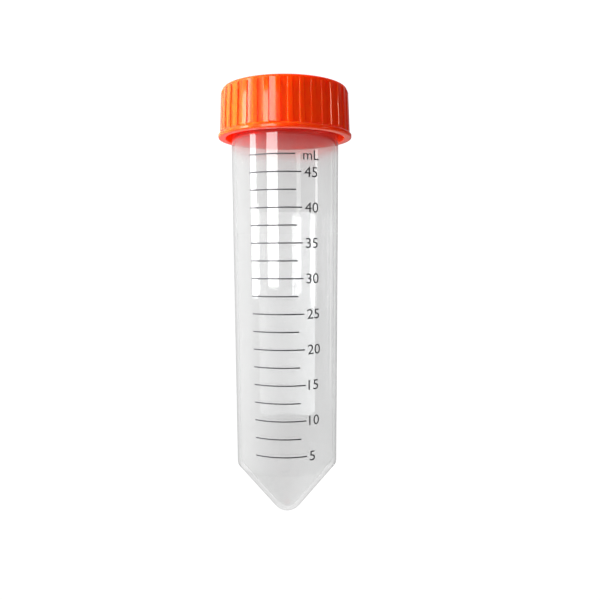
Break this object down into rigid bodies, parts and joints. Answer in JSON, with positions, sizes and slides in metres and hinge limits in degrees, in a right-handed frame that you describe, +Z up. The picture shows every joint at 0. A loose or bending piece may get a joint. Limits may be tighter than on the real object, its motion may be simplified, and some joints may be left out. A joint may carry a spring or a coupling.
{
  "type": "50 ml conical tube",
  "caption": "Clear plastic conical tube with printed scale lines, a pointed base and a ribbed orange screw cap with a flange, stood upside down on the cap.",
  "frame": {"origin": "on the surface it stands on, in the middle of the cap's flat top and under the middle of the bounding box", "axes": "+Z up, from the cap to the tube's tip, along the common axis of tube and cap; -Y towards the side with the scale; +X to the left when the scale is looked at with the cap at the top"},
  "size_m": [0.0362, 0.036, 0.1169],
  "materials": {
    "clear_polypropylene": "gloss",
    "orange_polyethylene": "gloss"
  },
  "bodies": {
    "cap": {"screw_cap": "orange_polyethylene"},
    "tube": {"conical_tube": "clear_polypropylene"}
  },
  "joints": [
    {"name": "tube_lift", "type": "slide", "parent": "cap", "child": "tube", "axis": [0, 0, 1], "range_m": [0, 0.04]}
  ]
}
